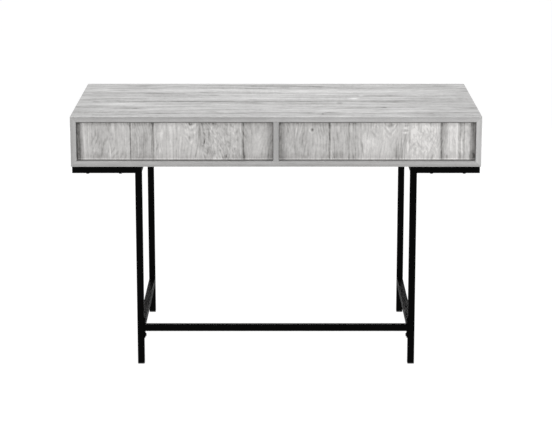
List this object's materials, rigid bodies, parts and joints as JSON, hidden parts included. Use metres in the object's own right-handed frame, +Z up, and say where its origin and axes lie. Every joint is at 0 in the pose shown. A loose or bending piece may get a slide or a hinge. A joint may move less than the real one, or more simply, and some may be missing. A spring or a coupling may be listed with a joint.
{
  "type": "writing desk",
  "caption": "Rectangular writing desk: mitred wood-grain casing with inset handleless drawers on a square-tube steel frame with outward arms, side stretchers and a front foot bar.",
  "frame": {"origin": "on the floor under the middle of the desk", "axes": "+X to the right of a person sitting at the desk, -Y towards that person, +Z up"},
  "size_m": [1.2, 0.6, 0.75],
  "materials": {
    "grey_laminate": "pale grey weathered-oak laminate, matt, fine horizontal grain",
    "drawer_laminate": "pale grey weathered-oak laminate, matt, vertical grain",
    "drawer_board": "pale grey melamine board, matt",
    "hardboard": "grey faced hardboard, matt",
    "joint_wood": "bare beech and birch plywood",
    "black_steel": "black powder coat, satin",
    "black_screw": "black oxide, satin",
    "black_plastic": "black moulded plastic, matt",
    "grey_plastic": "grey moulded plastic, matt",
    "rail_steel": "zinc-plated pressed steel",
    "cam_zinc": "die-cast zinc",
    "fixing_steel": "zinc-plated steel"
  },
  "bodies": {
    "root": {"arm_end_caps": "black_plastic", "back_panel": "grey_laminate", "bottom_panel": "grey_laminate", "cabinet_rail_screws": "fixing_steel", "casing_screws": "black_screw", "centre_divider": "grey_laminate", "divider_cam_bolts": "fixing_steel", "divider_cam_locks": "cam_zinc", "foot_glides": "black_plastic", "front_left_arm": "black_steel", "front_left_leg": "black_steel", "front_right_arm": "black_steel", "front_right_leg": "black_steel", "front_stretcher": "black_steel", "left_cabinet_rails": "rail_steel", "left_side_panel": "grey_laminate", "left_side_stretcher": "black_steel", "left_top_rail": "black_steel", "mitre_splines": "joint_wood", "panel_screws": "fixing_steel", "rear_left_arm": "black_steel", "rear_left_leg": "black_steel", "rear_right_arm": "black_steel", "rear_right_leg": "black_steel", "right_cabinet_rails": "rail_steel", "right_side_panel": "grey_laminate", "right_side_stretcher": "black_steel", "right_top_rail": "black_steel", "rivet_nuts": "fixing_steel", "stretcher_bolts": "black_screw", "stretcher_end_plates": "black_steel", "top_panel": "grey_laminate", "touch_latch_housings": "grey_plastic", "touch_latch_screws": "fixing_steel", "wood_dowels": "joint_wood"},
    "left_drawer": {"left_drawer_back": "drawer_board", "left_drawer_back_screws": "fixing_steel", "left_drawer_bottom": "hardboard", "left_drawer_cam_bolts": "fixing_steel", "left_drawer_cam_locks": "cam_zinc", "left_drawer_front": "drawer_laminate", "left_drawer_left_side": "drawer_board", "left_drawer_rail_screws": "fixing_steel", "left_drawer_rails": "rail_steel", "left_drawer_right_side": "drawer_board"},
    "right_drawer": {"right_drawer_back": "drawer_board", "right_drawer_back_screws": "fixing_steel", "right_drawer_bottom": "hardboard", "right_drawer_cam_bolts": "fixing_steel", "right_drawer_cam_locks": "cam_zinc", "right_drawer_front": "drawer_laminate", "right_drawer_left_side": "drawer_board", "right_drawer_rail_screws": "fixing_steel", "right_drawer_rails": "rail_steel", "right_drawer_right_side": "drawer_board"},
    "left_mid_rails": {"left_drawer_mid_rails": "rail_steel"},
    "right_mid_rails": {"right_drawer_mid_rails": "rail_steel"},
    "left_plunger": {"left_latch_plunger": "grey_plastic"},
    "right_plunger": {"right_latch_plunger": "grey_plastic"}
  },
  "joints": [
    {"name": "left_drawer_slide", "type": "slide", "parent": "root", "child": "left_drawer", "axis": [0, -1, 0], "range_m": [0, 0.4]},
    {"name": "left_mid_rail_slide", "type": "slide", "parent": "root", "child": "left_mid_rails", "axis": [0, -1, 0], "range_m": [0, 0.2]},
    {"name": "left_latch_press", "type": "slide", "parent": "root", "child": "left_plunger", "axis": [0, 1, 0], "range_m": [0, 0.004], "stiffness_N_per_m": 300},
    {"name": "right_drawer_slide", "type": "slide", "parent": "root", "child": "right_drawer", "axis": [0, -1, 0], "range_m": [0, 0.4]},
    {"name": "right_mid_rail_slide", "type": "slide", "parent": "root", "child": "right_mid_rails", "axis": [0, -1, 0], "range_m": [0, 0.2]},
    {"name": "right_latch_press", "type": "slide", "parent": "root", "child": "right_plunger", "axis": [0, 1, 0], "range_m": [0, 0.004], "stiffness_N_per_m": 300}
  ],
  "couplings": [
    {"joint": "left_mid_rail_slide", "follows": "left_drawer_slide", "ratio": 0.5},
    {"joint": "right_mid_rail_slide", "follows": "right_drawer_slide", "ratio": 0.5}
  ]
}
